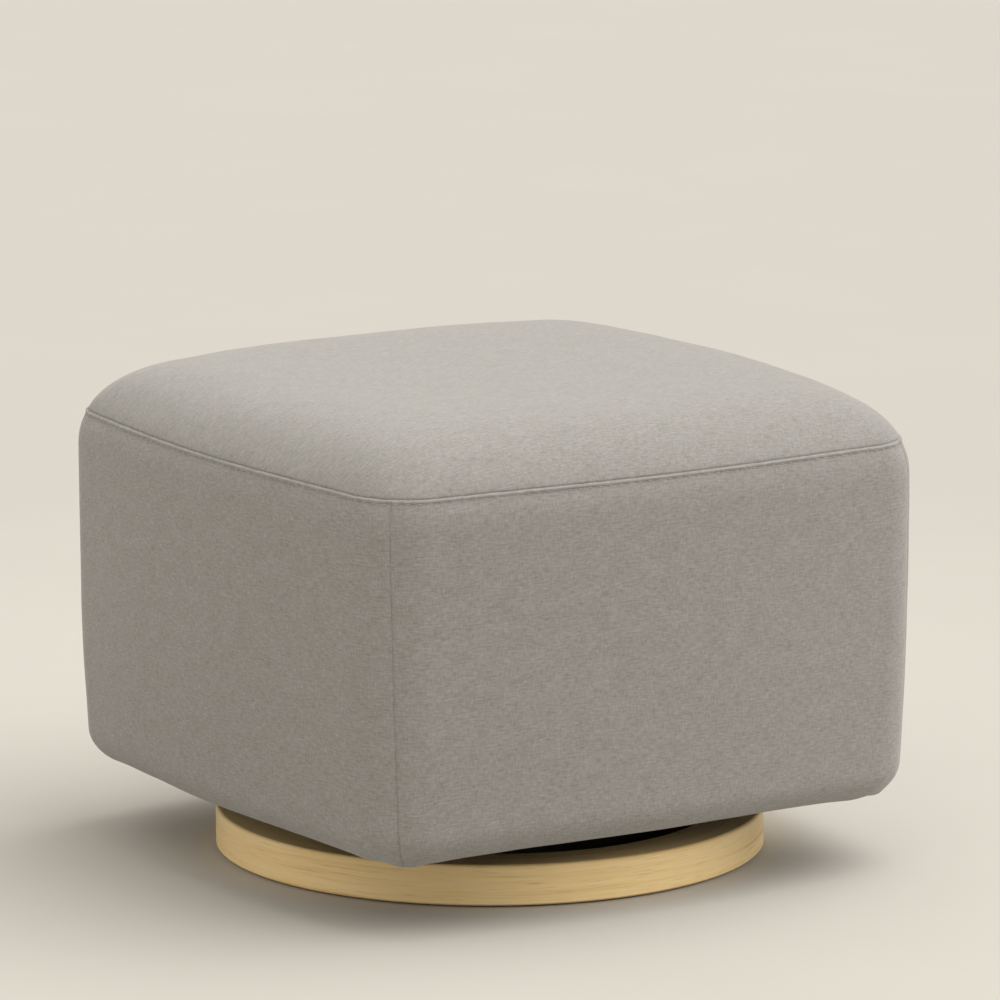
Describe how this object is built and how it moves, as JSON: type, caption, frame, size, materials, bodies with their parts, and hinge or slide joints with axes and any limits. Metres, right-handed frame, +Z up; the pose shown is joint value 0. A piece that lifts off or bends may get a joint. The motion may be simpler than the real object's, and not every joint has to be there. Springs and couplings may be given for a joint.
{
  "type": "glider ottoman",
  "caption": "Square upholstered glider ottoman with a rounded top seam, swinging on hanging links over a round wooden floor ring.",
  "frame": {"origin": "on the floor, at the middle of the round base ring, under the middle of the seat block at rest", "axes": "+Z up, -Y towards the front, so the seat glides along Y; X runs left to right along the pivot pins"},
  "size_m": [0.6058, 0.6058, 0.4298],
  "materials": {
    "upholstery_fabric": "matte",
    "seat_foam": "matte",
    "ring_wood": "satin",
    "frame_timber": "matte",
    "panel_board": "matte",
    "dust_cloth": "matte",
    "black_steel": "satin",
    "plated_fasteners": "satin",
    "bush_plastic": "satin",
    "bumper_rubber": "matte",
    "pad_felt": "matte"
  },
  "bodies": {
    "base": {"base_ring": "ring_wood", "floor_pads": "pad_felt", "front_cross_rail": "black_steel", "rear_cross_rail": "black_steel", "cross_rail_screws": "plated_fasteners", "left_stand": "black_steel", "right_stand": "black_steel", "stand_bolts": "plated_fasteners", "stand_nuts": "plated_fasteners", "spreader_tube": "black_steel", "stop_bumpers": "bumper_rubber", "upper_pivot_pins": "plated_fasteners", "upper_pin_nuts": "plated_fasteners", "upper_pivot_sleeves": "plated_fasteners"},
    "link_front_left": {"swing_link_front_left": "black_steel", "link_bushes_front_left": "bush_plastic"},
    "link_front_right": {"swing_link_front_right": "black_steel", "link_bushes_front_right": "bush_plastic"},
    "link_rear_left": {"swing_link_rear_left": "black_steel", "link_bushes_rear_left": "bush_plastic"},
    "link_rear_right": {"swing_link_rear_right": "black_steel", "link_bushes_rear_right": "bush_plastic"},
    "seat": {"carriage_bolts": "plated_fasteners", "carriage_nuts": "plated_fasteners", "corner_blocks": "frame_timber", "corner_posts": "frame_timber", "dust_cloths": "dust_cloth", "front_bottom_rail": "frame_timber", "front_cover": "upholstery_fabric", "front_foam": "seat_foam", "front_panel": "panel_board", "front_top_rail": "frame_timber", "left_bottom_rail": "frame_timber", "left_carriage_rail": "black_steel", "left_cover": "upholstery_fabric", "left_foam": "seat_foam", "left_mount_rail": "frame_timber", "left_panel": "panel_board", "left_top_rail": "frame_timber", "lower_pin_nuts": "plated_fasteners", "lower_pivot_pins": "plated_fasteners", "lower_pivot_sleeves": "plated_fasteners", "mount_stretchers": "frame_timber", "rear_bottom_rail": "frame_timber", "rear_cover": "upholstery_fabric", "rear_foam": "seat_foam", "rear_panel": "panel_board", "rear_top_rail": "frame_timber", "right_bottom_rail": "frame_timber", "right_carriage_rail": "black_steel", "right_cover": "upholstery_fabric", "right_foam": "seat_foam", "right_mount_rail": "frame_timber", "right_panel": "panel_board", "right_top_rail": "frame_timber", "top_cover": "upholstery_fabric", "top_deck": "frame_timber", "top_foam": "seat_foam"}
  },
  "joints": [
    {"name": "glide", "type": "hinge", "parent": "base", "child": "link_front_left", "pos_m": [-0.1325, -0.07, 0.184], "axis": [1, 0, 0], "range_deg": [-22, 22]},
    {"name": "link_front_right_swing", "type": "hinge", "parent": "base", "child": "link_front_right", "pos_m": [0.1325, -0.07, 0.184], "axis": [1, 0, 0], "range_deg": [-22, 22]},
    {"name": "link_rear_left_swing", "type": "hinge", "parent": "base", "child": "link_rear_left", "pos_m": [-0.1325, 0.07, 0.184], "axis": [1, 0, 0], "range_deg": [-22, 22]},
    {"name": "link_rear_right_swing", "type": "hinge", "parent": "base", "child": "link_rear_right", "pos_m": [0.1325, 0.07, 0.184], "axis": [1, 0, 0], "range_deg": [-22, 22]},
    {"name": "seat_keeps_level", "type": "hinge", "parent": "link_front_left", "child": "seat", "pos_m": [-0.1325, -0.07, 0.084], "axis": [1, 0, 0], "range_deg": [-22, 22]}
  ],
  "couplings": [
    {"joint": "link_front_right_swing", "follows": "glide", "ratio": 1},
    {"joint": "link_rear_left_swing", "follows": "glide", "ratio": 1},
    {"joint": "link_rear_right_swing", "follows": "glide", "ratio": 1},
    {"joint": "seat_keeps_level", "follows": "glide", "ratio": -1}
  ]
}
